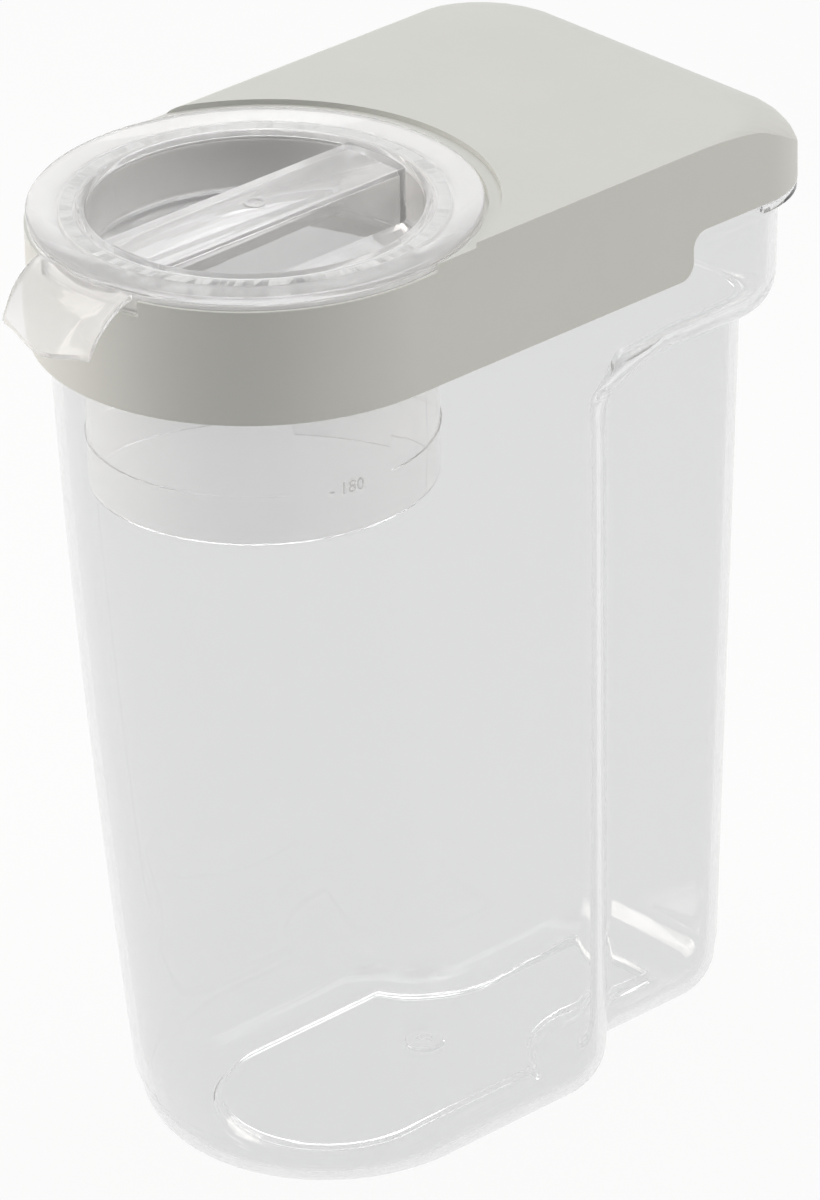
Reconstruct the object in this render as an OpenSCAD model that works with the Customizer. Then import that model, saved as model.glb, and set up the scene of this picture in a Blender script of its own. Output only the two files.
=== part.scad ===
// Slim pouring keeper for cereal or rice, in millimetres.
// A clear drafted body with a narrowed grip, an opaque lid, a clear spout ring
// and a clear measuring cap that plugs the mouth from above.
// +Z up, the spout points to -Y, the grip is at +Y, X = 0 is the mirror plane.

/* [Body] */
// Outer width of the body just under its rim
body_w = 95; // [86:0.5:110]
// Outer width of the body at the foot
foot_w = 90; // [78:0.5:104]
// Distance from the mouth axis back to the rear wall at the rim
rear_len = 129.5; // [116:0.5:150]
// Height of the rim above the table
rim_z = 223; // [208:1:260]
// Wall thickness of the clear body
wall = 2; // [1.6:0.1:2.6]
// How far the front wall leans back between rim and foot
front_lean = 15.8; // [6:0.2:20]
// How far the rear wall leans in between rim and foot
rear_lean = 5.6; // [2:0.2:9]
// Radius of the rounded bottom edge
foot_round = 12; // [8:0.5:14]
// Height of the raised floor panel
panel_rise = 2.5; // [1.5:0.1:3.5]
// Radius of the upright rear corners under the lid
corner_r = 19.5; // [12:0.5:26]

/* [Grip] */
// Width of the grip just under the shoulder
grip_w = 69; // [60:0.5:76]
// Width of the grip at the foot
grip_foot_w = 60; // [52:0.5:70]
// Height of the shoulder above the grip
shoulder_z = 184.8; // [160:0.2:192]
// Radius of the rounded shoulder edge
shoulder_r = 12; // [6:0.5:14]
// Where the front section starts to curve in to the grip
grip_start = 54.5; // [46:0.5:64]
// Radius of the outward turn into the grip
turn_r = 20; // [16:0.5:24]
// Radius of the inward turn into the grip
bend_r = 7.6; // [5:0.2:10]

/* [Shoulder arch] */
// Height of the rounded arch where the grip ends under the shoulder
arch_h = 16; // [8:0.5:24]
// How far back the arch carries the turn into the grip
arch_run = 17; // [8:0.5:22]

/* [Rim] */
// How much thicker the rim band is than the wall, on the outside
rim_band = 0.5; // [0.4:0.1:1.2]
// Height of the rim band
rim_band_h = 9; // [8:0.5:22]
// Thickness of the rear finger flange
flange_t = 2; // [1.5:0.1:2.6]
// Height of the flange under the rim
flange_drop = 4; // [3:0.5:5]
// How far the flange stands behind the body wall
flange_reach = 5; // [3.5:0.5:8]

/* [Lid] */
// Gap between the rim band and the lid skirt
skirt_gap = 1.9; // [0.8:0.1:2.4]
// Gap between the rim band and the rear wall of the lid
rear_gap = 0.5; // [0.4:0.1:1.2]
// Wall thickness of the lid
lid_wall = 2; // [1.6:0.1:2.4]
// Height of the lid top above the body rim
lid_over = 17; // [15:0.5:22]
// Height of the skirt at the front and sides
skirt_h = 31; // [26:0.5:36]
// Height of the short skirt over the rear flange
rear_skirt_h = 20.2; // [18.6:0.2:21]
// Where the skirt steps up, measured from the mouth axis
skirt_step = 86.5; // [76:0.5:92]
// Radius of the rolled rear edge of the lid top
roll_r = 20; // [12:0.5:24]
// Radius of the rounded side edges of the lid top
edge_r = 2; // [1:0.1:3]
// Upright corner radius of the lid at the rear
lid_corner_r = 21.5; // [18:0.5:30]
// Radius of the rear corners of the flat lid top, inside the roll
top_corner_r = 17; // [6:0.5:18]
// Thickness of the inner rib that carries the packing
rib_wall = 1.5; // [1.2:0.1:2]
// Room for the packing between the rib and the body wall
pack_rib = 1.7; // [1.4:0.1:2.2]
// Width of the shallow ring step around the cap
ring_step = 2.9; // [2:0.1:4]
// Depth of the shallow ring step
ring_step_d = 1.3; // [0.8:0.1:2]

/* [Spout ring] */
// Thickness of the clear ring flange
ring_t = 1.4; // [1.1:0.1:2]
// Wall thickness of the ring collar
ring_wall = 1.2; // [1:0.1:1.5]
// Depth of the ring collar under its flange
ring_collar = 16; // [10:0.5:20]
// Outer width of the spout trough
spout_w = 31; // [22:0.5:36]
// How far the spout lip stands in front of the ring
spout_reach = 13; // [10:0.2:16]
// Slope of the trough below the horizontal
spout_slope = 43; // [34:1:46]
// How far the lip lies under the lid top
spout_drop = 16.5; // [13:0.5:19]
// Height of the trough side walls
spout_side = 4.4; // [3.4:0.2:6]
// Sheet thickness of the trough
spout_t = 1.5; // [1.2:0.1:2]

/* [Measuring cap] */
// Thickness of the cap flange
cap_t = 2; // [1.6:0.1:2.6]
// Depth of the finger well under the flange top
well_d = 14; // [10:0.5:18]
// Depth of the measuring tube under the flange top
tube_len = 66.4; // [54:0.2:80]
// Wall thickness of the measuring tube
tube_wall = 2; // [1.4:0.1:2.4]
// Taper of the tube radius from flange to mouth
tube_taper = 0.2; // [0:0.1:1]
// Width of the finger bar across the well
bar_w = 20; // [14:0.5:24]
// How far the bar top lies under the flange top
bar_drop = 0.8; // [0.4:0.1:2]
// Height of the fill line above the cup mouth
fill_line = 12; // [8:0.5:20]

/* [Fits] */
// Clearance around the loose cap flange and ring
ring_gap = 0.5; // [0.3:0.05:0.8]
// Clearance between the cap tube and the ring collar
tube_gap = 0.6; // [0.4:0.05:0.9]
// Clearance between the ring collar and the lid bore
bore_gap = 0.3; // [0.2:0.05:0.5]
// Clearance between the lid packing and the body wall
pack_gap = 0.3; // [0.2:0.05:0.5]

/* [Hidden] */
$fn = 96;
e = 0.05;
band_step = 0.1;
corner_turns = 8;

top_z = rim_z + lid_over;
half_top = body_w / 2;
half_foot = foot_w / 2;
loft_top = rim_z - rim_band_h;
band_half = half_top + rim_band;
bore_half = half_top - wall;
skirt_in = band_half + skirt_gap;
lid_half = skirt_in + lid_wall;
lid_rear = rear_len + rim_band + rear_gap + lid_wall;

// the round parts share one axis and follow the lid width
cap_r = lid_half - 0.4;
seat_r = cap_r + ring_gap + 0.4;
step_r = seat_r + ring_step;
rib_out = bore_half - pack_gap - pack_rib;
rib_in = rib_out - rib_wall;
lid_bore = rib_in + 0.1;
collar_out = lid_bore - bore_gap;
collar_in = collar_out - ring_wall;
tube_r = collar_in - tube_gap;
tube_in = tube_r - tube_wall;
cap_z = top_z - cap_t;
ring_z = cap_z - ring_t;
seat_z = ring_z;
pack_w = 3;
pack_t = 1;
shoulder_out = collar_in + pack_w + 2.4;
ledge_z = ring_z - 1;
plate_z = top_z - 2.4;
plate_low = seat_z - lid_wall - 1;
rib_low = rim_z - 7;
flange_z = rim_z - flange_drop - flange_t;
spout_tip = cap_r + spout_reach;
lip_z = top_z - spout_drop;
cheek_r = 22;
flange_rear = rear_len + flange_reach;
mid_y = (flange_rear - spout_tip) / 2;

// body outline sizes at height z
function half_w(z) = half_foot + (half_top - half_foot) * z / loft_top;
function front_c(z) = front_lean * pow(max(0, 1 - z / loft_top), 1.5);
function rear_y(z) = rear_len - rear_lean * (1 - z / loft_top);
function half_g(z) = (grip_foot_w + (grip_w - grip_foot_w) * min(1, z / shoulder_z)) / 2;
function turn_a(z) = acos(1 - (half_w(z) - half_g(z)) / (turn_r + bend_r));
// the turn into the grip moves back near the shoulder, so the shoulder ends in an arch
function arch_t(z) = min(0.97, max(0, (z - shoulder_z - shoulder_r * 0.6 + arch_h) / arch_h));
function start_y(z) = grip_start + arch_run * (1 - sqrt(1 - pow(arch_t(z), 2)));
function arc(cx, cy, r, a0, a1, n) =
    [for (i = [0:n]) [cx + r * cos(a0 + (a1 - a0) * i / n), cy + r * sin(a0 + (a1 - a0) * i / n)]];

// right half of the outline with the grip, drawn in by d
function grip_half(z, d) =
    let (w = half_w(z), g = half_g(z), a = turn_a(z), r = corner_r - 2, y = rear_y(z), s = start_y(z))
    concat(
        arc(0, front_c(z), w - d, -90, 0, 14),
        arc(w - turn_r, s, turn_r - d, 0, a, 5),
        arc(g + bend_r, s + (turn_r + bend_r) * sin(a), bend_r + d, 180 + a, 180, 5),
        arc(g - r, y - r, max(0.6, r - d), 0, 90, 5));

// right half of the full outline above the grip, with the same number of points
function full_half(z, d) =
    let (w = half_w(z), g = grip_half(z, d), y = rear_y(z))
    concat(
        arc(0, front_c(z), w - d, -90, 0, 14),
        [for (i = [15:26]) [w - d, g[i][1]]],
        arc(w - corner_r, y - corner_r, corner_r - d, 0, 90, 5));

function mirrored(h) = concat(h, [for (i = [len(h) - 1:-1:1]) [-h[i][0], h[i][1]]]);
function blend_ring(z, d, k) =
    let (a = grip_half(z, d), b = full_half(z, d))
    mirrored([for (i = [0:len(a) - 1]) a[i] * (1 - k) + b[i] * k]);
function lifted(ring, z) = [for (p = ring) [p[0], p[1], z]];

// levels of one skin: s is the distance of the skin from the outside
function skin(s) =
    let (r = foot_round - s, q = shoulder_r - s)
    concat(
        [lifted(blend_ring(0, foot_round + 6.4, 0), s + panel_rise)],
        [lifted(blend_ring(0, foot_round + 4.4, 0), s)],
        [for (a = [0:22.5:90]) lifted(blend_ring(0, s + r * (1 - sin(a)), 0), s + r * (1 - cos(a)))],
        [for (z = [30, 60, 95, 130, 158] / 205 * loft_top) lifted(blend_ring(z, s, 0), z)],
        [for (t = [0.35, 0.65, 0.85]) lifted(blend_ring(shoulder_z - (1 - t) * arch_h, s, 0), shoulder_z - (1 - t) * arch_h)],
        [for (a = [0:15:90]) lifted(blend_ring(shoulder_z, s, sin(a)), shoulder_z + s + q * (1 - cos(a)))],
        [lifted(blend_ring(loft_top, s, 1), loft_top)]);

// closed shell from the outer skin and the inner skin
module shell() {
    rings = concat(skin(0), [for (i = [len(skin(wall)) - 1:-1:0]) skin(wall)[i]]);
    n = len(rings[0]);
    m = len(rings);
    points = [for (ring = rings) for (p = ring) p];
    sides = [for (k = [0:m - 2]) for (i = [0:n - 1])
        let (a = k * n + i, b = k * n + (i + 1) % n)
        for (t = [[a, a + n, b], [b, a + n, b + n]]) t];
    caps = [[for (i = [0:n - 1]) i], [for (i = [n - 1:-1:0]) (m - 1) * n + i]];
    polyhedron(points = points, faces = concat(sides, caps), convexity = 10);
}

// flat D outline: round front about the mouth axis, straight sides, rounded rear corners
module d_shape(hw, rear, rc) {
    circle(r = hw);
    translate([-hw, 0]) square([2 * hw, rear - rc]);
    translate([-(hw - rc), 0]) square([2 * (hw - rc), rear]);
    for (s = [-1, 1])
        translate([s * (hw - rc), rear - rc]) circle(r = rc);
}

module d_ring(outer, inner, rear, rc) {
    difference() {
        d_shape(outer, rear, rc);
        d_shape(inner, rear - (outer - inner), rc - (outer - inner));
    }
}

module ring(r_out, r_in, h) {
    difference() {
        cylinder(r = r_out, h = h);
        translate([0, 0, -1]) cylinder(r = r_in, h = h + 2);
    }
}

module placed() {
    translate([0, -mid_y, 0]) children();
}

module rim() {
    translate([0, 0, loft_top - e])
        linear_extrude(rim_band_h + e)
            d_ring(band_half, bore_half + band_step, rear_len + rim_band, corner_r + rim_band);
    // flange under the rear of the lid, to push the lid up with the thumbs
    translate([0, 0, flange_z])
        linear_extrude(flange_t)
            intersection() {
                difference() {
                    d_shape(lid_half, flange_rear, corner_r - 1.5);
                    d_shape(half_top, rear_len, corner_r);
                }
                translate([-body_w, skirt_step + 16]) square([2 * body_w, rear_len]);
            }
}

module container_body() {
    color([0.93, 0.94, 0.96, 0.35])
    placed()
    difference() {
        union() {
            shell();
            rim();
        }
        // gate mark in the middle of the floor
        translate([0, 46, panel_rise - 1])
            cylinder(r = 5, h = 1.4);
    }
}

// lid top as seen from the side: flat with a rolled rear edge
module lid_profile(shift) {
    r = roll_r - shift;
    translate([-lid_half - 5, 0]) square([lid_half + 5 + lid_rear - roll_r, top_z - shift]);
    square([lid_rear - shift, top_z - roll_r]);
    translate([lid_rear - roll_r, top_z - roll_r]) circle(r = r);
}

// where the roll starts in the direction a, from the rear (0) round to the side (90)
function roll_start(a) = top_corner_r
    + (lid_corner_r - edge_r - top_corner_r) * sin(a)
    + (lid_corner_r - roll_r - top_corner_r) * cos(a);

// the roll carried round the rear corners: it narrows step by step into the side edge
module rolled_corners(shift) {
    far = 2 * lid_rear;
    intersection_for (s = [-1, 1], k = [1 : corner_turns - 1]) {
        a = 90 * k / corner_turns;
        d = roll_start(a);
        r = lid_corner_r + 0.25 - d;
        translate([s * (lid_half - lid_corner_r), lid_rear - lid_corner_r, 0])
            rotate([90, 0, 90 - s * a])
                linear_extrude(2 * far, center = true) {
                    translate([-far, 0]) square([far + d, top_z - shift]);
                    translate([-far, 0]) square([far + d + r - shift, top_z - r]);
                    translate([d, top_z - r]) circle(r = r - shift);
                }
    }
}

module lid_outer() {
    z0 = top_z - skirt_h;
    intersection() {
        rolled_corners(0);
        translate([0, 0, z0])
            linear_extrude(skirt_h)
                d_shape(lid_half, lid_rear, lid_corner_r);
        rotate([90, 0, 90])
            linear_extrude(2 * lid_half + 20, center = true)
                lid_profile(0);
        // rounded long edges
        translate([0, lid_rear + 20, 0])
            rotate([90, 0, 0])
                linear_extrude(lid_rear + 20 + lid_half + 5)
                    edge_profile(lid_half, 0);
    }
}

module edge_profile(hw, shift) {
    r = edge_r;
    translate([-hw, 0]) square([2 * hw, top_z - r]);
    translate([-(hw - r), 0]) square([2 * (hw - r), top_z]);
    for (s = [-1, 1])
        translate([s * (hw - r), top_z - r]) circle(r = r);
}

// hollow under the lid top, following the roll at the rear
module lid_hollow() {
    intersection() {
        rolled_corners(lid_wall);
        translate([0, 0, top_z - skirt_h - 1])
            linear_extrude(skirt_h - 1.4 + e)
                d_shape(skirt_in, lid_rear - lid_wall, lid_corner_r - lid_wall);
        rotate([90, 0, 90])
            linear_extrude(2 * lid_half + 20, center = true)
                lid_profile(lid_wall);
    }
}

// space for the short skirt: one upright riser with rounded turns
module skirt_cut() {
    rise = skirt_h - rear_skirt_h;
    r = 4;
    translate([0, 0, top_z - skirt_h])
    rotate([90, 0, 90])
        linear_extrude(2 * lid_half + 20, center = true) {
            difference() {
                union() {
                    translate([skirt_step, -1]) square([90, rise + 1]);
                    translate([skirt_step - r, -1]) square([r + e, r + 1]);
                }
                translate([skirt_step - r, r]) circle(r = r);
                difference() {
                    translate([skirt_step - e, rise - r]) square([r + e, r + e]);
                    translate([skirt_step + r, rise - r]) circle(r = r);
                }
            }
        }
}

module lid_plate() {
    // seat for the spout ring, carried by the plate
    translate([0, 0, plate_low])
        cylinder(r = seat_r + 1.6, h = plate_z - plate_low + 1);
}

module lid() {
    color([0.83, 0.83, 0.81])
    placed()
    difference() {
        union() {
            difference() {
                lid_outer();
                lid_hollow();
                skirt_cut();
            }
            intersection() {
                lid_plate();
                lid_outer();
            }
            // inner rib that carries the packing
            intersection() {
                translate([0, 0, rib_low])
                    linear_extrude(top_z - rib_low)
                        d_ring(rib_out, rib_in, rear_len - wall - pack_gap - pack_rib, corner_r - wall - pack_gap - pack_rib);
                lid_outer();
            }
            translate([0, 0, rim_z - 3.6])
                linear_extrude(1)
                    d_ring(rib_out + 1, rib_in, rear_len - wall - pack_gap - pack_rib + 1, corner_r - wall - pack_gap - pack_rib + 1);
            // ledge that rests on the rim
            translate([0, 0, rim_z + 0.3])
                linear_extrude(1.2)
                    d_ring(band_half - 0.3, rib_in, rear_len + rim_band - 0.3, corner_r + rim_band - 0.3);
            // collar around the mouth, one with the front of the rib
            translate([0, 0, rib_low])
                cylinder(r = rib_out, h = plate_z - rib_low);
        }
        // mouth bore
        translate([0, 0, rib_low - 1])
            cylinder(r = lid_bore, h = top_z);
        // seat of the ring and the stepped shoulder under it
        translate([0, 0, seat_z])
            cylinder(r = seat_r, h = top_z);
        translate([0, 0, ledge_z])
            cylinder(r = shoulder_out + bore_gap, h = top_z);
        // shallow step around the cap
        translate([0, 0, top_z - ring_step_d])
            cylinder(r = step_r, h = 10);
        // notch where the spout crosses the skirt
        spout_notch();
    }
}

module spout_notch() {
    low = spout_floor(lid_half) - spout_t / cos(spout_slope) - bore_gap;
    w = spout_w + 2 * bore_gap;
    difference() {
        translate([-w / 2, -lid_half - 5, low])
            cube([w, lid_half, top_z]);
        cylinder(r = cap_r - 1.6 - bore_gap, h = 2 * top_z);
    }
}

// height of the trough floor at distance y in front of the mouth axis
function spout_floor(y) = lip_z + (spout_tip - y) * tan(spout_slope);

module lid_packing() {
    color([0.92, 0.93, 0.93])
    placed()
    translate([0, 0, rim_z - 2.3])
        linear_extrude(2.4)
            d_ring(bore_half - pack_gap, rib_out + 0.3, rear_len - wall - pack_gap, corner_r - wall - pack_gap);
}

module trough_2d() {
    h = spout_side;
    r = 3.4;
    difference() {
        rounded_u(spout_w / 2, h, r);
        translate([0, spout_t]) rounded_u(spout_w / 2 - spout_t, h + 2, r - spout_t);
    }
}

module rounded_u(hw, h, r) {
    translate([-hw, r]) square([2 * hw, h - r]);
    translate([-(hw - r), 0]) square([2 * (hw - r), h]);
    for (s = [-1, 1])
        translate([s * (hw - r), r]) circle(r = r);
}

// centre of the arc of radius r through p and q, below and behind them
function arc_centre(p, q, r) =
    let (d = q - p, n = norm(d), h = sqrt(r * r - n * n / 4))
    (p + q) / 2 + h / n * [-d[1], d[0]];

// side view of the space the spout may fill: the sheet itself and a rounded cheek
module cheek_2d() {
    translate(arc_centre([-cap_r + 0.5, ring_z + 0.4], [2 - spout_tip, lip_z + 1.5], cheek_r))
        circle(r = cheek_r);
    translate([-spout_tip, lip_z])
        rotate([0, 0, spout_slope])
            translate([-3, -spout_t - e]) square([40, spout_t + 2 * e]);
}

// plan of the trough with a bowed lip and rounded lip corners
module trough_plan() {
    r = 4;
    hw = spout_w / 2;
    back = sqrt(pow(spout_tip - r, 2) - pow(hw - r, 2));
    intersection() {
        circle(r = spout_tip);
        union() {
            translate([-hw, -back]) square([2 * hw, 30]);
            translate([-(hw - r), -spout_tip]) square([2 * (hw - r), 30]);
            for (s = [-1, 1])
                translate([s * (hw - r), -back]) circle(r = r);
        }
    }
}

module spout() {
    run = spout_reach / cos(spout_slope);
    difference() {
        intersection() {
            translate([0, -spout_tip, lip_z])
                rotate([90 + spout_slope, 0, 0])
                    translate([0, -spout_t, -run - 8])
                        linear_extrude(run + 12)
                            trough_2d();
            linear_extrude(top_z) trough_plan();
            rotate([90, 0, 90])
                linear_extrude(spout_w + 20, center = true)
                    cheek_2d();
        }
        // keep the mouth and the space of the cap free
        cylinder(r = cap_r - 1.6, h = top_z);
        translate([0, 0, cap_z]) cylinder(r = spout_tip + 10, h = 20);
    }
    // apron from the ring flange down to the trough floor
    intersection() {
        translate([0, 0, spout_floor(cap_r) - spout_t])
            ring(cap_r - 0.1, cap_r - 1.6, cap_z - spout_floor(cap_r) + spout_t - e);
        translate([-spout_w / 2, -spout_tip, 0]) cube([spout_w, spout_tip, top_z]);
    }
}

module spout_ring() {
    color([0.94, 0.94, 0.97, 0.4])
    placed() {
        difference() {
            union() {
                translate([0, 0, ring_z]) ring(cap_r - 0.1, collar_in, ring_t);
                translate([0, 0, ledge_z]) ring(shoulder_out, collar_in, 1 + e);
                translate([0, 0, ring_z - ring_collar]) ring(collar_out, collar_in, ring_collar);
            }
            // shelf for the cap packing
            translate([0, 0, cap_z - pack_t])
                cylinder(r = collar_in + 0.8 + pack_w, h = 5);
        }
        spout();
    }
}

module cap_packing() {
    color([0.92, 0.93, 0.93])
    placed()
    translate([0, 0, cap_z - pack_t])
        ring(collar_in + 0.5 + pack_w, collar_in + 0.3, pack_t);
}

module cap_profile() {
    z0 = top_z - tube_len;
    floor_z = top_z - well_d;
    difference() {
        union() {
            translate([0, cap_z]) square([cap_r, cap_t]);
            polygon([[tube_in, z0], [tube_r - tube_taper, z0], [tube_r, cap_z + e], [tube_in, cap_z + e]]);
            translate([0, floor_z - tube_wall]) square([tube_in + 0.5, tube_wall]);
        }
        translate([-1, floor_z]) square([tube_in + 1 - e, well_d + 1]);
    }
}

module bar_solid(w, low, high) {
    translate([-w / 2, -tube_in - 0.5, low])
        cube([w, 2 * tube_in + 1, high - low]);
}

module measuring_cap() {
    z0 = top_z - tube_len;
    floor_z = top_z - well_d;
    color([0.9, 0.9, 0.97, 0.4])
    placed() {
        difference() {
            union() {
                rotate_extrude() cap_profile();
                intersection() {
                    bar_solid(bar_w, floor_z - e, top_z - bar_drop);
                    translate([0, 0, floor_z - 1]) cylinder(r = tube_in + 0.5, h = well_d + 1);
                }
            }
            // hollow of the bar, open to the cup
            intersection() {
                bar_solid(bar_w - 2 * tube_wall, floor_z - tube_wall - 1, top_z - bar_drop - tube_wall);
                translate([0, 0, z0]) cylinder(r = tube_in, h = tube_len);
            }
        }
        // gate mark on the bar and the fill line near the cup mouth
        translate([0, 0, top_z - bar_drop - e])
            cylinder(r = 1.2, h = 0.5);
        translate([0, 0, z0 + fill_line])
            rotate([0, 0, -20])
                rotate_extrude(angle = 310)
                    translate([tube_r - tube_taper, 0]) square([0.35, 0.6]);
    }
}

container_body();
lid();
lid_packing();
spout_ring();
cap_packing();
measuring_cap();
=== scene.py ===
# %% [markdown]
# # A clear pouring keeper for cereal
#
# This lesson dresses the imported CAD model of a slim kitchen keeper. The real
# object is four visible mouldings: a clear body with a narrowed grip, a satin
# grey lid, a clear ring with a pouring spout and a clear measuring cap.
# The CAD model is loaded first and stays fixed. It carries the joints, and each
# piece made here rides on one of its bodies, so a lid that lifts takes its
# spout along. Everything is in metres, +Z up, the spout points to -Y.

# %% Load the fixed frame
import math

import bmesh
import bpy
from mathutils import Matrix, Vector


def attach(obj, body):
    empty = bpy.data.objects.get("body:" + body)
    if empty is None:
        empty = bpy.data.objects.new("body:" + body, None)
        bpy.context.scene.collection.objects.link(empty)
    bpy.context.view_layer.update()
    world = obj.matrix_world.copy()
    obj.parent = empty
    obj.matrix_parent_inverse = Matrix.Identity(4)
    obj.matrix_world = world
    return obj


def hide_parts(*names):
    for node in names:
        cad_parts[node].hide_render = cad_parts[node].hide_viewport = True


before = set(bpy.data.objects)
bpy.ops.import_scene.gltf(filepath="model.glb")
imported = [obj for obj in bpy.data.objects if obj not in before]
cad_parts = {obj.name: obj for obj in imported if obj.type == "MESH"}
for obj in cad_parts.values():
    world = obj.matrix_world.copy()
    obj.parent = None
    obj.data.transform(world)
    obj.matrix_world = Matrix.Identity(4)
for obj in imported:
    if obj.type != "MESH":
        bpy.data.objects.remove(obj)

scene = bpy.context.scene
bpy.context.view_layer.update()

# %% [markdown]
# ## One set of sizes
#
# Sizes are written in millimetres, as a maker reads them off a drawing, with
# the origin on the axis of the round mouth. `place` turns such a point into
# the shared frame. The CAD model keeps its origin under the middle of its box,
# which lies 35 mm behind the mouth axis, so the mouth is at Y = -35 mm.

# %% Sizes of the keeper
MM = 0.001
MOUTH_Y = -35.0
RIM_Z = 223.0
TOP_Z = 240.0
WALL = 2.0


def place(x, y, z):
    """A point in millimetres from the mouth axis and the table, in the shared frame."""
    return Vector((x * MM, (y + MOUTH_Y) * MM, z * MM))


# %% [markdown]
# ## Finishing a piece
#
# Every new piece ends the same way: doubles are merged, faces are turned
# outwards, the mesh is shaded smooth with sharp edges kept sharp, the piece is
# parented to the CAD body it rides on, and the CAD node it stands for is hidden.
# Doing this in one function keeps the pieces alike and the lesson short.

# %% From bmesh to a piece that rides on the frame
def finish_piece(name, bm, material, body, node, sharp=32.0):
    """Makes an object from bm, gives it its finish and seats it on the frame."""
    bmesh.ops.remove_doubles(bm, verts=bm.verts, dist=2e-6)
    bmesh.ops.recalc_face_normals(bm, faces=bm.faces)
    open_edges = sum(1 for edge in bm.edges if len(edge.link_faces) != 2)
    mesh = bpy.data.meshes.new(name)
    bm.to_mesh(mesh)
    bm.free()
    mesh.shade_smooth()
    mesh.set_sharp_from_angle(angle=math.radians(sharp))
    mesh.materials.append(material)
    piece = bpy.data.objects.new(name, mesh)
    scene.collection.objects.link(piece)
    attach(piece, body)
    if node:
        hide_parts(node)
    print(f"{name}: {len(mesh.polygons)} faces, {open_edges} open edges")
    return piece


def grow_ring(bm, ring, points):
    """Extrudes a closed ring of vertices and moves the new ring to the given points."""
    count = len(ring)
    edges = [bm.edges.get((ring[i - 1], ring[i])) for i in range(count)]
    grown = bmesh.ops.extrude_edge_only(bm, edges=edges)["geom"]
    fresh = {tuple(v.co): v for v in grown if isinstance(v, bmesh.types.BMVert)}
    ring = [fresh[tuple(v.co)] for v in ring]
    for vert, point in zip(ring, points):
        vert.co = place(*point)
    return ring


def start_ring(bm, points):
    """A closed ring of vertices and edges, the first section of a lofted piece."""
    ring = [bm.verts.new(place(*point)) for point in points]
    for i in range(len(ring)):
        bm.edges.new((ring[i - 1], ring[i]))
    return ring


def close_ring(bm, ring):
    """Fills a flat ring with faces."""
    edges = [bm.edges.get((ring[i - 1], ring[i])) for i in range(len(ring))]
    bmesh.ops.triangle_fill(bm, edges=edges, use_beauty=True)


# %% [markdown]
# ## Clear plastic
#
# The body, the ring and the cap are clear styrene resin, a little over 1 mm to
# 2 mm thick. A Principled shader with full transmission and the resin's index
# of refraction bends and reflects light as the real wall does, because each
# piece is modelled as a closed wall with an inside and an outside. The colour
# is set under white, so light loses some of itself each time it passes a surface:
# just under white for the ring and the cap, well under it for the body as painted
# shade, a grey tint that stands in for the grey surroundings seen through the
# clear wall and darkens the edges seen along it.
# Moulded resin is never quite flat. A broad, very weak bump makes reflections
# swim a little, and a fine noise varies the roughness.
#
# A path tracer finds it hard to send lamp light through bent glass, and then
# everything behind clear plastic goes dark. So the rays that look for a lamp
# meet a plain tinted Transparent shader instead, and the lid's seat under the
# clear ring is lit as it is in a kitchen.
#
# The ring and the cap are a little milky, because they are seen through
# several skins at once, each with its fine mould texture. A part of their
# shader is therefore plain haze. The body's polished walls have next to none.
# Light that is caught inside a clear wall needs many bounces to get out again,
# and it comes out black if the path ends too soon. The scene allows more bounces,
# and a ray that has bounced six times passes straight on through the wall.

# %% The clear finish
def new_material(name):
    material = bpy.data.materials.new(name)
    material.use_nodes = True
    tree = material.node_tree
    return material, tree, tree.nodes["Principled BSDF"]


def noise(tree, scale, detail=2.0, distortion=0.0):
    """Noise on Object coordinates, in metres."""
    coords = tree.nodes.new("ShaderNodeTexCoord")
    texture = tree.nodes.new("ShaderNodeTexNoise")
    texture.inputs["Scale"].default_value = scale
    texture.inputs["Detail"].default_value = detail
    texture.inputs["Distortion"].default_value = distortion
    tree.links.new(coords.outputs["Object"], texture.inputs["Vector"])
    return texture.outputs["Fac"]


def spread(tree, value, low, high):
    """Maps a noise of about 0.3 to 0.7 to the range low to high."""
    node = tree.nodes.new("ShaderNodeMapRange")
    node.inputs["From Min"].default_value = 0.3
    node.inputs["From Max"].default_value = 0.7
    node.inputs["To Min"].default_value = low
    node.inputs["To Max"].default_value = high
    tree.links.new(value, node.inputs["Value"])
    return node.outputs["Result"]


def any_of(tree, *outputs):
    """The largest of several outputs that are 0 or 1: it is 1 when any of them is."""
    result = outputs[0]
    for output in outputs[1:]:
        either = tree.nodes.new("ShaderNodeMath")
        either.operation = "MAXIMUM"
        tree.links.new(result, either.inputs[0])
        tree.links.new(output, either.inputs[1])
        result = either.outputs["Value"]
    return result


def add_bump(tree, shader, height, distance, strength=1.0):
    bump = tree.nodes.new("ShaderNodeBump")
    bump.inputs["Strength"].default_value = strength
    bump.inputs["Distance"].default_value = distance
    tree.links.new(height, bump.inputs["Height"])
    tree.links.new(bump.outputs["Normal"], shader.inputs["Normal"])


RESIN_IOR = 1.5
SHADOW_TINT = 0.985
BOUNCES_BEFORE_PASSING = 5.5


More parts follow.
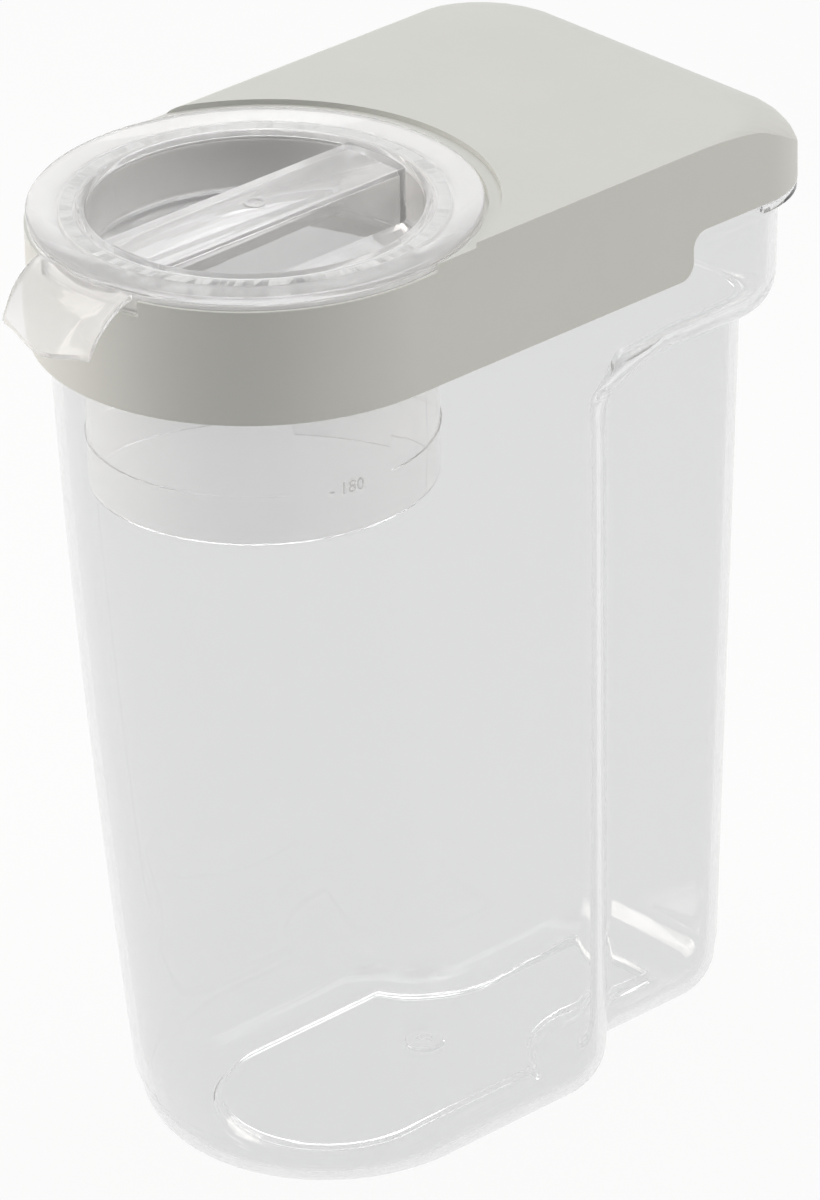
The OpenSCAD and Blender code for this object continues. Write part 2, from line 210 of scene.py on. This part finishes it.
def clear_resin(name, colour, clear, rough, wave):
    """Clear moulded resin: clear is the share that is not haze, wave is the weak bump."""
    material, tree, shader = new_material(name)
    shader.inputs["Base Color"].default_value = (*colour, 1.0)
    shader.inputs["Transmission Weight"].default_value = clear
    shader.inputs["IOR"].default_value = RESIN_IOR
    tree.links.new(spread(tree, noise(tree, 90.0), rough * 0.6, rough * 1.4),
                   shader.inputs["Roughness"])
    add_bump(tree, shader, noise(tree, 38.0, 1.0), wave)
    passing = tree.nodes.new("ShaderNodeBsdfTransparent")
    passing.inputs["Color"].default_value = (SHADOW_TINT, SHADOW_TINT, SHADOW_TINT, 1.0)
    path = tree.nodes.new("ShaderNodeLightPath")
    caught = tree.nodes.new("ShaderNodeMath")
    caught.operation = "GREATER_THAN"
    caught.inputs[1].default_value = BOUNCES_BEFORE_PASSING
    tree.links.new(path.outputs["Ray Depth"], caught.inputs[0])
    passes = any_of(tree, caught.outputs["Value"], path.outputs["Is Shadow Ray"],
                    path.outputs["Is Diffuse Ray"])
    mix = tree.nodes.new("ShaderNodeMixShader")
    tree.links.new(passes, mix.inputs["Fac"])
    tree.links.new(shader.outputs["BSDF"], mix.inputs[1])
    tree.links.new(passing.outputs["BSDF"], mix.inputs[2])
    tree.links.new(mix.outputs["Shader"], tree.nodes["Material Output"].inputs["Surface"])
    return material


# Painted shade: the body's grey tint stands in for the grey surroundings seen through its clear
# wall.
body_resin_painted_shade = clear_resin("body_resin_painted_shade", (0.852, 0.855, 0.857), 0.99, 0.012, 0.00002)
ring_resin = clear_resin("ring_resin", (0.98, 0.98, 0.985), 0.73, 0.03, 0.00001)
cap_resin = clear_resin("cap_resin", (0.985, 0.985, 0.99), 0.8, 0.02, 0.00001)
mark_resin = clear_resin("mark_resin", (0.9, 0.9, 0.9), 0.6, 0.3, 0.00001)
print("clear finishes:", [m.name for m in (body_resin_painted_shade, ring_resin, cap_resin, mark_resin)])

# %% [markdown]
# ## Satin lid plastic
#
# The lid is an opaque, warm light grey with a satin skin. Under a soft light
# it shows no grain at arm's length, only a broad soft sheen. The mould's fine
# spark texture is a small noise bump, and a slow noise shifts the grey by a
# percent or two so that the large flat top doesn't look computed. The packings
# are pale silicone, made the same way and a little translucent.

# %% The lid finish
def satin_plastic(name, colour, rough):
    material, tree, shader = new_material(name)
    ramp = tree.nodes.new("ShaderNodeValToRGB")
    ramp.color_ramp.elements[0].position = 0.3
    ramp.color_ramp.elements[1].position = 0.7
    ramp.color_ramp.elements[0].color = (*[c * 0.985 for c in colour], 1.0)
    ramp.color_ramp.elements[1].color = (*[min(1.0, c * 1.015) for c in colour], 1.0)
    tree.links.new(noise(tree, 25.0), ramp.inputs["Fac"])
    tree.links.new(ramp.outputs["Color"], shader.inputs["Base Color"])
    tree.links.new(spread(tree, noise(tree, 300.0, 3.0), rough - 0.04, rough + 0.04),
                   shader.inputs["Roughness"])
    add_bump(tree, shader, noise(tree, 2600.0, 2.0), 0.000012, 0.5)
    return material


lid_satin = satin_plastic("lid_satin", (0.655, 0.66, 0.63), 0.5)
packing_silicone = satin_plastic("packing_silicone", (0.84, 0.85, 0.85), 0.45)
silicone_shader = packing_silicone.node_tree.nodes["Principled BSDF"]
silicone_shader.inputs["Transmission Weight"].default_value = 0.25
print("satin finishes:", lid_satin.name, packing_silicone.name)

# %% [markdown]
# ## The clear body
#
# The body is one moulding with a round front, a grip that is drawn in on both
# sides, a shoulder over the grip and a rim. It could be a box with subdivision,
# but then the S-shaped turn into the grip would be hard to hold. Instead it is
# lofted: one outline is computed at each height, and ring after ring is
# extruded from the last, up the outside, over the rim and down the inside.

# %% Sizes of the body
HALF_TOP = 47.5
HALF_FOOT = 45.0
GRIP_TOP = 34.5
GRIP_FOOT = 30.0
LOFT_TOP = 214.0
SHOULDER_Z = 184.8
SHOULDER_R = 12.0
REAR_LEN = 129.5
REAR_LEAN = 5.6
FRONT_LEAN = 15.8
FOOT_ROUND = 12.0
PANEL_RISE = 2.5
PANEL_IN = FOOT_ROUND + 4.4
PANEL_RUN = 3.0
PANEL_STEPS = 10
CORNER_R = 19.5
GRIP_START = 54.5
TURN_R = 20.0
BEND_R = 7.6
ARCH_H = 16.0
ARCH_RUN = 17.0


def half_width(z):
    return HALF_FOOT + (HALF_TOP - HALF_FOOT) * z / LOFT_TOP


def front_centre(z):
    return FRONT_LEAN * max(0.0, 1 - z / LOFT_TOP) ** 1.5


def rear_at(z):
    return REAR_LEN - REAR_LEAN * (1 - z / LOFT_TOP)


def half_grip(z):
    return GRIP_FOOT + (GRIP_TOP - GRIP_FOOT) * min(1.0, z / SHOULDER_Z)


def turn_start(z):
    """The turn into the grip moves back under the shoulder, which makes the arch."""
    t = min(0.97, max(0.0, (z - SHOULDER_Z - SHOULDER_R * 0.6 + ARCH_H) / ARCH_H))
    return GRIP_START + ARCH_RUN * (1 - math.sqrt(1 - t * t))


def arc(cx, cy, radius, start, end, count):
    """Points on an arc, with angles in degrees from +X."""
    steps = [math.radians(start + (end - start) * i / count) for i in range(count + 1)]
    return [(cx + radius * math.cos(a), cy + radius * math.sin(a)) for a in steps]


FRONT_STEPS = 44
TURN_STEPS = 16
CORNER_STEPS = 14


def grip_outline(z, inset):
    """Right half of the outline with the drawn-in grip, from the front to the rear."""
    w, g, r, rear, start = half_width(z), half_grip(z), CORNER_R - 2, rear_at(z), turn_start(z)
    turn = math.degrees(math.acos(1 - (w - g) / (TURN_R + BEND_R)))
    bend_y = start + (TURN_R + BEND_R) * math.sin(math.radians(turn))
    return (arc(0, front_centre(z), w - inset, -90, 0, FRONT_STEPS)
            + arc(w - TURN_R, start, TURN_R - inset, 0, turn, TURN_STEPS)
            + arc(g + BEND_R, bend_y, BEND_R + inset, 180 + turn, 180, TURN_STEPS)[1:]
            + arc(g - r, rear - r, max(0.6, r - inset), 0, 90, CORNER_STEPS))


def full_outline(z, inset):
    """Right half of the outline over the shoulder, with as many points."""
    w, rear = half_width(z), rear_at(z)
    grip = grip_outline(z, inset)
    first, last = FRONT_STEPS + 1, FRONT_STEPS + 2 * TURN_STEPS + 2
    return (arc(0, front_centre(z), w - inset, -90, 0, FRONT_STEPS)
            + [(w - inset, grip[i][1]) for i in range(first, last)]
            + arc(w - CORNER_R, rear - CORNER_R, CORNER_R - inset, 0, 90, CORNER_STEPS))


def body_ring(z, outline_z, inset, share, shift=0.0):
    """A closed ring: share 0 is the grip outline, 1 the full one."""
    grip, full = grip_outline(outline_z, inset), full_outline(outline_z, inset)
    half = [((1 - share) * a[0] + share * b[0], (1 - share) * a[1] + share * b[1])
            for a, b in zip(grip, full)]
    return ([(x, y, z) for x, y in half]
            + [(-x, y, z) for x, y in reversed(half[1:-1])])


def smooth_step(a, b, count):
    return [a + (b - a) * i / count for i in range(count + 1)]


def skin_rings(inset):
    """Rings of one skin from the floor panel up to the rim; inset 0 is the outside."""
    r, q = FOOT_ROUND - inset, SHOULDER_R - inset
    rings = []
    for k in range(PANEL_STEPS + 1):
        t = k / PANEL_STEPS
        rise = PANEL_RISE * (0.5 + 0.5 * math.cos(math.pi * t))
        rings.append(body_ring(inset + rise, 0.0, PANEL_IN + PANEL_RUN * (1 - t), 0.0))
    for a in smooth_step(0.0, 90.0, 12):
        s, c = math.sin(math.radians(a)), math.cos(math.radians(a))
        rings.append(body_ring(inset + r * (1 - c), 0.0, inset + r * (1 - s), 0.0))
    for z in smooth_step(16.0, SHOULDER_Z - ARCH_H + 6.0, 18):
        rings.append(body_ring(z, z, inset, 0.0))
    for z in smooth_step(SHOULDER_Z - ARCH_H + 7.5, SHOULDER_Z - 1.0, 8):
        rings.append(body_ring(z, z, inset, 0.0))
    for a in smooth_step(0.0, 90.0, 16):
        s, c = math.sin(math.radians(a)), math.cos(math.radians(a))
        z = SHOULDER_Z + inset + q * (1 - c)
        rings.append(body_ring(z, z, inset, s))
    for z in smooth_step(SHOULDER_Z + SHOULDER_R + 3.0, LOFT_TOP - 1.0, 4):
        rings.append(body_ring(z, z, inset, 1.0))
    return rings


# %% Loft the body, outside first and inside last
RIM_BAND = 0.5
FLANGE_LOW, FLANGE_HIGH = 217.0, 219.0
GATE_R = 5.0
GATE_Y = 46.0


def rim_ring(z, inset):
    return body_ring(z, LOFT_TOP, inset, 1.0)


outer = skin_rings(0.0)
inner = skin_rings(WALL)
over_rim = [rim_ring(213.6, 0.0), rim_ring(214.4, -RIM_BAND), rim_ring(215.5, -RIM_BAND),
            rim_ring(FLANGE_LOW, -RIM_BAND), rim_ring(FLANGE_HIGH, -RIM_BAND),
            rim_ring(221.0, -RIM_BAND), rim_ring(222.4, -RIM_BAND),
            rim_ring(222.82, -RIM_BAND + 0.18), rim_ring(RIM_Z, -RIM_BAND + 0.6),
            rim_ring(RIM_Z, WALL - 0.6), rim_ring(222.82, WALL - 0.18),
            rim_ring(222.4, WALL)]
levels = outer + over_rim + inner[::-1]

bm = bmesh.new()
ring = start_ring(bm, levels[0])
floor_rings = [ring]
for points in levels[1:]:
    ring = grow_ring(bm, ring, points)
floor_rings.append(ring)
for ring in floor_rings:
    close_ring(bm, ring)

# %% [markdown]
# ### The finger flange
#
# Behind the lid the rim carries a flange, so that two thumbs can push the lid
# up. It is part of the same moulding, so it is pulled out of the band of faces
# that the loft already has between its two heights.

# %% Pull the flange out of the rim
FLANGE_START = 102.5
FLANGE_SIDE = 2.9
FLANGE_REAR = 4.2

band = []
for face in bm.faces:
    heights = [vert.co.z / MM for vert in face.verts]
    y = face.calc_center_median().y / MM - MOUTH_Y
    in_band = min(heights) > FLANGE_LOW - 0.1 and max(heights) < FLANGE_HIGH + 0.1
    if in_band and y > FLANGE_START:
        band.append(face)
pulled = bmesh.ops.extrude_face_region(bm, geom=band)["geom"]
bmesh.ops.delete(bm, geom=band, context="FACES_KEEP_BOUNDARY")
for vert in [g for g in pulled if isinstance(g, bmesh.types.BMVert)]:
    x, y = vert.co.x / MM, vert.co.y / MM - MOUTH_Y
    cx = max(-HALF_TOP + CORNER_R, min(HALF_TOP - CORNER_R, x))
    cy = min(REAR_LEN - CORNER_R, y)
    out = Vector((x - cx, y - cy, 0.0)).normalized()
    reach = FLANGE_SIDE + (FLANGE_REAR - FLANGE_SIDE) * out.y
    ease = min(1.0, (y - FLANGE_START + 1.0) / 3.0)
    vert.co += out * reach * MM * math.sqrt(max(0.0, ease))
body_bm = bm
print("body so far:", len(body_bm.faces), "faces")

# %% [markdown]
# ## Turned pieces
#
# The ring and the cap are round, so their walls are a profile turned about the
# mouth axis. `bmesh.ops.spin` does that. The profile is given as points of
# radius and height, closed all round, so that the wall has both its faces.

# %% Turn a closed profile about the mouth axis
SPIN_STEPS = 144


def turned(profile, y=0.0):
    """A bmesh of a closed profile of (radius, height) turned once about an upright axis at y."""
    bm = bmesh.new()
    verts = [bm.verts.new(place(r, y, z)) for r, z in profile]
    for i in range(len(verts)):
        bm.edges.new((verts[i - 1], verts[i]))
    bmesh.ops.spin(bm, geom=bm.verts[:] + bm.edges[:], cent=place(0, y, 0), axis=(0, 0, 1),
                   angle=2 * math.pi, steps=SPIN_STEPS, use_merge=True)
    return bm


def turned_part(profile, start, sweep):
    """The same profile turned only from one angle to another, in degrees from the spout to +X."""
    bm = bmesh.new()
    a = math.radians(start)
    verts = [bm.verts.new(place(r * math.sin(a), -r * math.cos(a), z)) for r, z in profile]
    bm.faces.new(verts)
    bmesh.ops.spin(bm, geom=bm.verts[:] + bm.edges[:] + bm.faces[:], cent=place(0, 0, 0),
                   axis=(0, 0, 1), angle=math.radians(sweep), steps=int(sweep / 2.5))
    return bm


def rounded(points, radii, count=4):
    """A closed profile with each corner rounded by its own radius."""
    made = []
    for i, (point, radius) in enumerate(zip(points, radii)):
        here = Vector(point)
        back = (Vector(points[i - 1]) - here)
        ahead = (Vector(points[(i + 1) % len(points)]) - here)
        if radius <= 0.0:
            made.append((here.x, here.y))
            continue
        a, b = back.normalized(), ahead.normalized()
        half = a.angle(b) / 2
        cut = radius / math.tan(half)
        centre = here + (a + b).normalized() * radius / math.sin(half)
        first, last = here + a * cut - centre, here + b * cut - centre
        sweep = first.angle_signed(last)
        for k in range(count + 1):
            turn = Matrix.Rotation(-sweep * k / count, 2)
            made.append(tuple(centre + turn @ first))
    return made


# %% Join and cut closed shapes
def box_bmesh(low, high, bevel=0.0, segments=3):
    """A box between two corners in millimetres, with rounded edges."""
    bm = bmesh.new()
    bmesh.ops.create_cube(bm, size=1.0)
    low, high = place(*low), place(*high)
    for vert in bm.verts:
        vert.co = (low + high) / 2 + vert.co * (high - low)
    if bevel:
        bmesh.ops.bevel(bm, geom=bm.edges[:], offset=bevel * MM, segments=segments,
                        profile=0.5, affect="EDGES", material=-1)
    return bm


def temporary(bm, name):
    bmesh.ops.remove_doubles(bm, verts=bm.verts, dist=2e-6)
    bmesh.ops.recalc_face_normals(bm, faces=bm.faces)
    mesh = bpy.data.meshes.new(name)
    bm.to_mesh(mesh)
    bm.free()
    helper = bpy.data.objects.new(name, mesh)
    scene.collection.objects.link(helper)
    return helper


def joined(base, steps):
    """Runs exact Booleans on base: steps is a list of (operation, bmesh). Returns a bmesh."""
    work = temporary(base, "work")
    helpers = [temporary(bm, "helper") for _, bm in steps]
    for (operation, _), helper in zip(steps, helpers):
        modifier = work.modifiers.new(operation, "BOOLEAN")
        modifier.operation = operation
        modifier.solver = "EXACT"
        modifier.object = helper
    graph = bpy.context.evaluated_depsgraph_get()
    result = bmesh.new()
    result.from_mesh(work.evaluated_get(graph).to_mesh())
    for obj in [work, *helpers]:
        bpy.data.objects.remove(obj)
    return result


# %% [markdown]
# ### The gate mark
#
# Resin enters the mould in the middle of the floor and leaves a low button with
# a dimple there. It is turned about its own axis and joined to the body with an
# exact Boolean, so that the clear wall stays one closed skin.

# %% Join the gate mark to the floor and finish the body
FLOOR_Z = WALL + PANEL_RISE
gate_profile = rounded(
    [(0.0, FLOOR_Z - 0.6), (GATE_R, FLOOR_Z - 0.6), (GATE_R - 0.5, FLOOR_Z + 0.7),
     (2.2, FLOOR_Z + 0.9), (1.5, FLOOR_Z + 0.3), (0.0, FLOOR_Z + 0.3)],
    [0.0, 0.0, 0.5, 0.4, 0.4, 0.0])
body_bm = joined(body_bm, [("UNION", turned(gate_profile, GATE_Y))])
finish_piece("clear_body", body_bm, body_resin_painted_shade, "body", "container_body", 40.0)

# %% [markdown]
# ## The measuring cap
#
# The cap is a cup that hangs in the mouth, closed at the top by a round well
# with a bar across it. Finger and thumb go in at each side of the bar.
# The round wall is turned, and the hollow bar, which no turning makes, is a
# bevelled box that joins it with an exact Boolean.

# %% Sizes of the cap
CAP_R = 51.5
CAP_LOW = 238.0
TUBE_R = 40.0
TUBE_IN = 38.0
TUBE_FOOT = 173.6
WELL_Z = 226.0
BAR_HALF = 10.0
BAR_TOP = 239.2


# %% Turn the cap and join its bar
cap_profile = rounded(
    [(0.0, WELL_Z), (TUBE_IN, WELL_Z), (TUBE_IN, TOP_Z), (CAP_R, TOP_Z), (CAP_R, CAP_LOW),
     (TUBE_R, CAP_LOW), (TUBE_R - 0.2, TUBE_FOOT), (TUBE_IN - 0.1, TUBE_FOOT),
     (TUBE_IN, WELL_Z - WALL), (0.0, WELL_Z - WALL)],
    [0.0, 1.0, 1.2, 0.5, 0.3, 0.4, 0.5, 0.4, 0.8, 0.0])
cap_bm = turned(cap_profile)
bar_out = box_bmesh((-BAR_HALF, -TUBE_IN - 1, WELL_Z - 1.0), (BAR_HALF, TUBE_IN + 1, BAR_TOP), 0.8)
bar_cut = box_bmesh((-BAR_HALF + WALL, -TUBE_IN + 2, WELL_Z - 4.0),
                    (BAR_HALF - WALL, TUBE_IN - 2, BAR_TOP - WALL), 0.5)
limit = turned([(0.0, 200.0), (TUBE_IN + 0.8, 200.0),
                (TUBE_IN + 0.8, BAR_TOP + 1), (0.0, BAR_TOP + 1)])
bar_out = joined(bar_out, [("INTERSECT", limit)])
cap_bm = joined(cap_bm, [("UNION", bar_out), ("DIFFERENCE", bar_cut)])
print("cap with its bar:", len(cap_bm.faces), "faces")

# %% [markdown]
# ### Marks of the measuring cap
#
# A raised line round the tube shows a full measure. It stops short of a small
# raised number. The bar carries the round witness of an ejector pin. The line
# and the ring are joined to the cap. The number is type, made a mesh and bent
# round the tube, and it stays a thin piece of its own with a matt skin.

# %% The fill line and the ring on the bar
LINE_Z = 185.6
NUMBER_AT = 76.0
LINE_GAP = 36.0

LINE_IN, LINE_OUT = TUBE_R - 0.4, TUBE_R + 0.2

line = turned_part([(LINE_IN, LINE_Z - 0.5), (LINE_OUT, LINE_Z - 0.2),
                    (LINE_OUT, LINE_Z + 0.2), (LINE_IN, LINE_Z + 0.5)],
                   NUMBER_AT + LINE_GAP / 2, 360.0 - LINE_GAP)
witness = turned(rounded([(1.7, BAR_TOP - 0.3), (2.7, BAR_TOP - 0.3), (2.7, BAR_TOP + 0.3),
                          (1.7, BAR_TOP + 0.3)], [0.0, 0.0, 0.25, 0.25]))
cap_bm = joined(cap_bm, [("UNION", line), ("UNION", witness)])
finish_piece("measuring_cap_clear", cap_bm, cap_resin, "cap", "measuring_cap")

# %% The number on the tube
NUMBER_SIZE = 4.2
NUMBER_RELIEF = 0.12
NUMBER_DROP = 1.4

type_curve = bpy.data.curves.new("number", "FONT")
type_curve.body = "- 180"
type_curve.size = NUMBER_SIZE * MM
type_curve.extrude = NUMBER_RELIEF * MM
type_curve.align_x = "CENTER"
type_object = bpy.data.objects.new("number", type_curve)
scene.collection.objects.link(type_object)
number_bm = bmesh.new()
graph = bpy.context.evaluated_depsgraph_get()
number_bm.from_mesh(type_object.evaluated_get(graph).to_mesh())
bpy.data.objects.remove(type_object)
for vert in number_bm.verts:
    a = math.radians(NUMBER_AT) + vert.co.x / (TUBE_R * MM)
    r = TUBE_R + vert.co.z / MM
    vert.co = place(r * math.sin(a), -r * math.cos(a), LINE_Z - NUMBER_DROP + vert.co.y / MM)
finish_piece("cup_number", number_bm, mark_resin, "cap", None)

# %% [markdown]
# ## The spout ring
#
# A flat ring with a collar lies round the mouth, and the spout grows out of
# its front: a short scoop with low side walls that fade towards the lip.
# The scoop is a grid of faces bent into shape by one rule, then given its
# thickness with Solidify, because its wall is even all over. A low apron joins
# it to the ring where the lid has its notch for the spout.

# %% Sizes of the ring
RING_LOW = 236.6
COLLAR_IN = 40.6
COLLAR_OUT = 41.8
COLLAR_FOOT = 220.6
SPOUT_HALF = 15.5
SPOUT_TIP = 64.5
SPOUT_START = 50.2
LIP_Z = 223.5
SPOUT_SLOPE = math.tan(math.radians(43.0))
SPOUT_T = 1.5
SPOUT_ROUND = 0.45
EDGE_FROM = Vector((51.0, 237.2))
EDGE_TO = Vector((62.6, 225.6))
EDGE_BULGE = 1.9


def edge_point(t):
    """The side edge of the scoop in side view, from the ring (0) to the lip (1)."""
    chord = EDGE_TO - EDGE_FROM
    out = Vector((-chord.y, chord.x)).normalized()
    return EDGE_FROM + chord * t + out * EDGE_BULGE * 4 * t * (1 - t)


def scoop(u, v):
    """A point of the scoop's upper face.

    u runs across from -1 to 1, v from 0 at the ring to 1 at the lip.
    """
    x = u * (SPOUT_HALF - 0.9 * v * v)
    reach, edge_z = edge_point(v)
    if v < 0.08:
        reach = SPOUT_START + (reach - SPOUT_START) * v / 0.08
    tip = math.sqrt(SPOUT_TIP ** 2 - x * x)
    middle = SPOUT_START + (tip - SPOUT_START) * v
    side = abs(u) ** 2.0
    y = middle + (min(reach, tip) - middle) * side
    deeper = 0.9 * max(0.0, min(1.0, (y - 52.5) / 3.0))
    floor = min(236.7, LIP_Z + (SPOUT_TIP - y) * SPOUT_SLOPE) - deeper * (1 - v) - 0.35 * v
    return x, -y, floor + (max(edge_z, floor) - floor) * side


bm = bmesh.new()
bmesh.ops.create_grid(bm, x_segments=44, y_segments=28, size=1.0)
for vert in bm.verts:
    vert.co = place(*scoop(vert.co.x, (1.0 - vert.co.y) / 2))
bmesh.ops.solidify(bm, geom=bm.faces[:], thickness=-SPOUT_T * MM)
rims = [edge for edge in bm.edges
        if len(edge.link_faces) == 2 and edge.calc_face_angle(0.0) > math.radians(55.0)]
bmesh.ops.bevel(bm, geom=rims, offset=SPOUT_ROUND * MM, segments=3, profile=0.5,
                affect="EDGES", material=-1)
scoop_bm = bm
print("scoop:", len(scoop_bm.faces), "faces")

ring_profile = rounded(
    [(COLLAR_IN, COLLAR_FOOT), (COLLAR_OUT, COLLAR_FOOT), (COLLAR_OUT, RING_LOW),
     (CAP_R - 0.1, RING_LOW), (CAP_R - 0.1, CAP_LOW - 0.02), (45.0, CAP_LOW - 0.02),
     (45.0, CAP_LOW - 1.0), (COLLAR_IN, CAP_LOW - 1.0)],
    [0.4, 0.3, 0.4, 0.3, 0.3, 0.2, 0.2, 0.2])
APRON_IN, APRON_OUT = CAP_R - 1.6, CAP_R - 0.1
APRON_LOW, APRON_HIGH = 233.3, 237.2
apron = turned([(APRON_IN, APRON_LOW), (APRON_OUT, APRON_LOW),
                (APRON_OUT, APRON_HIGH), (APRON_IN, APRON_HIGH)])
notch = box_bmesh((-SPOUT_HALF, -CAP_R - 1, 230.0), (SPOUT_HALF, 0.0, 240.0))
apron = joined(apron, [("INTERSECT", notch)])
ring_bm = joined(turned(ring_profile), [("UNION", apron), ("UNION", scoop_bm)])
finish_piece("spout_ring_clear", ring_bm, ring_resin, "lid_set", "spout_ring")

# %% [markdown]
# ## The packing under the cap
#
# A soft ring lies under the cap's flange and keeps moisture out. It is seen
# through the clear flange, where the flat facets of a CAD mesh would show as
# rays, so it is turned again with smooth, slightly rounded faces. It is cut from
# silicone sheet on the real object and lies loose on the ring.

# %% Turn the packing
PACK_T, PACK_W = 1.0, 3.0
PACK_IN, PACK_OUT = COLLAR_IN + 0.3, COLLAR_IN + 0.5 + PACK_W
PACK_LOW, PACK_ROUND = CAP_LOW - PACK_T, 0.2
packing_bm = turned(rounded(
    [(PACK_IN, PACK_LOW), (PACK_OUT, PACK_LOW), (PACK_OUT, CAP_LOW), (PACK_IN, CAP_LOW)],
    [PACK_ROUND] * 4))
finish_piece("cap_packing_ring", packing_bm, packing_silicone, "lid_set", "cap_packing")

# %% [markdown]
# ## Pieces that stay as CAD made them
#
# The lid and the packing round its inner rib already have their true shape in
# the frame, so they keep it and only get their finish.

# %% Finish the lid and its packing
for node, material in (("lid", lid_satin), ("lid_packing", packing_silicone)):
    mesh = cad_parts[node].data
    mesh.materials.clear()
    mesh.materials.append(material)
    print(node, len(mesh.polygons), "faces keep their CAD shape")

# %% [markdown]
# ## Floor, light and background
#
# The picture is a product shot on white. The floor and the world are white
# where the camera, a reflection or the clear plastic looks at them, and the
# light that falls on the object is set apart from that with the Light Path
# node, so a white background never over-lights the lid. Part of the floor stays
# plain paint, so that the object keeps its shadow.

# %% The floor
def see_white(tree, lit, share=1.0):
    """Mixes a share of white light into a shader for rays that look at it."""
    path = tree.nodes.new("ShaderNodeLightPath")
    looks = any_of(tree, path.outputs["Is Camera Ray"], path.outputs["Is Glossy Ray"],
                   path.outputs["Is Transmission Ray"])
    part = tree.nodes.new("ShaderNodeMath")
    part.operation = "MULTIPLY"
    part.inputs[1].default_value = share
    tree.links.new(looks, part.inputs[0])
    white = tree.nodes.new("ShaderNodeEmission" if share < 1.0 else "ShaderNodeBackground")
    white.inputs["Color"].default_value = (1.0, 1.0, 1.0, 1.0)
    white.inputs["Strength"].default_value = 1.0
    mix = tree.nodes.new("ShaderNodeMixShader")
    tree.links.new(part.outputs["Value"], mix.inputs["Fac"])
    tree.links.new(lit.outputs[0], mix.inputs[1])
    tree.links.new(white.outputs[0], mix.inputs[2])
    return mix


FLOOR_SHARE = 0.88

bm = bmesh.new()
bmesh.ops.create_grid(bm, x_segments=1, y_segments=1, size=6.0)
floor_mesh = bpy.data.meshes.new("floor")
bm.to_mesh(floor_mesh)
bm.free()
floor = bpy.data.objects.new("floor", floor_mesh)
floor.location.z = -0.0002
scene.collection.objects.link(floor)
floor_paint, floor_tree, floor_shader = new_material("floor_paint")
floor_shader.inputs["Base Color"].default_value = (0.9, 0.9, 0.9, 1.0)
floor_shader.inputs["Roughness"].default_value = 0.9
floor_shader.inputs["Specular IOR Level"].default_value = 0.0
floor_mix = see_white(floor_tree, floor_shader, share=FLOOR_SHARE)
floor_tree.links.new(floor_mix.outputs[0], floor_tree.nodes["Material Output"].inputs["Surface"])
floor_mesh.materials.append(floor_paint)
print("floor in place, white share", FLOOR_SHARE)

# %% The world
FILL_STRENGTH = 0.2

world = bpy.data.worlds.new("studio")
scene.world = world
world.use_nodes = True
fill = world.node_tree.nodes["Background"]
fill.inputs["Color"].default_value = (1.0, 1.0, 1.0, 1.0)
fill.inputs["Strength"].default_value = FILL_STRENGTH
world_mix = see_white(world.node_tree, fill)
world.node_tree.links.new(world_mix.outputs[0],
                          world.node_tree.nodes["World Output"].inputs["Surface"])

print("world fill", FILL_STRENGTH)

# %% Let light find its way out of the clear walls
BOUNCES = 24
scene.cycles.max_bounces = BOUNCES
scene.cycles.transmission_bounces = BOUNCES
print("bounces allowed:", BOUNCES)

# %% [markdown]
# ### Three soft boxes
#
# A large lamp overhead lights the lid, and two weaker and slightly warm ones
# stand low at the sides. Real studios hang white sheets between such lamps and
# glossy plastic. Here the side lamps are hidden from reflections instead, or
# they would burn white streaks into the foot and the spout.

# %% The lamps
AIM = Vector((0.0, 0.0, 0.12))


def soft_box(name, azimuth, elevation, distance, size, watts, colour=(1.0, 1.0, 1.0)):
    """A square lamp that looks at the keeper; azimuth 0 stands in front of the spout."""
    a, e = math.radians(azimuth), math.radians(elevation)
    lamp = bpy.data.lights.new(name, "AREA")
    lamp.shape = "SQUARE"
    lamp.size = size
    lamp.energy = watts
    lamp.color = colour
    obj = bpy.data.objects.new(name, lamp)
    back = Vector((math.sin(a) * math.cos(e), -math.cos(a) * math.cos(e), math.sin(e)))
    obj.location = AIM + back * distance
    obj.rotation_euler = (-back).to_track_quat("-Z", "Y").to_euler()
    scene.collection.objects.link(obj)
    return obj


WARM = (1.0, 0.95, 0.89)
soft_box("overhead", 200.0, 75.0, 1.3, 1.2, 9.4)
left_lamp = soft_box("left_side", -50.0, 18.0, 1.4, 0.9, 13.5, WARM)
right_lamp = soft_box("right_side", 122.0, 20.0, 1.5, 0.9, 7.0, WARM)
left_lamp.visible_glossy = False
right_lamp.visible_glossy = False
right_lamp.visible_transmission = False

# %% [markdown]
# ## The camera
#
# The photograph was taken with a long lens from about two metres, above the
# front right corner. Its place was worked out from the lid's circle and edges.
# The sensor is Blender's 36 mm along the long side of the picture.

# %% Put the camera where the photographer stood
CAMERA_MM = (1381.24, -1218.0, 1083.34)
YAW, PITCH, ROLL = 0.830350, 0.474097, -0.021892
FOCAL_PX, IMAGE_H = 9042.17, 1200.0

forward = Vector((-math.sin(YAW) * math.cos(PITCH), math.cos(YAW) * math.cos(PITCH),
                  -math.sin(PITCH)))
level = Vector((math.cos(YAW), math.sin(YAW), 0.0))
above = level.cross(forward)
right = math.cos(ROLL) * level + math.sin(ROLL) * above
up = -math.sin(ROLL) * level + math.cos(ROLL) * above

camera_data = bpy.data.cameras.new("camera")
camera_data.lens = FOCAL_PX / IMAGE_H * camera_data.sensor_width
camera_data.clip_start = 0.05
camera_data.clip_end = 50.0
camera = bpy.data.objects.new("camera", camera_data)
turn = Matrix((right, up, -forward)).transposed().to_4x4()
camera.matrix_world = Matrix.Translation(place(*CAMERA_MM)) @ turn
scene.collection.objects.link(camera)
scene.camera = camera
scene.view_settings.view_transform = "Standard"
print("camera lens:", round(camera_data.lens, 1), "mm")
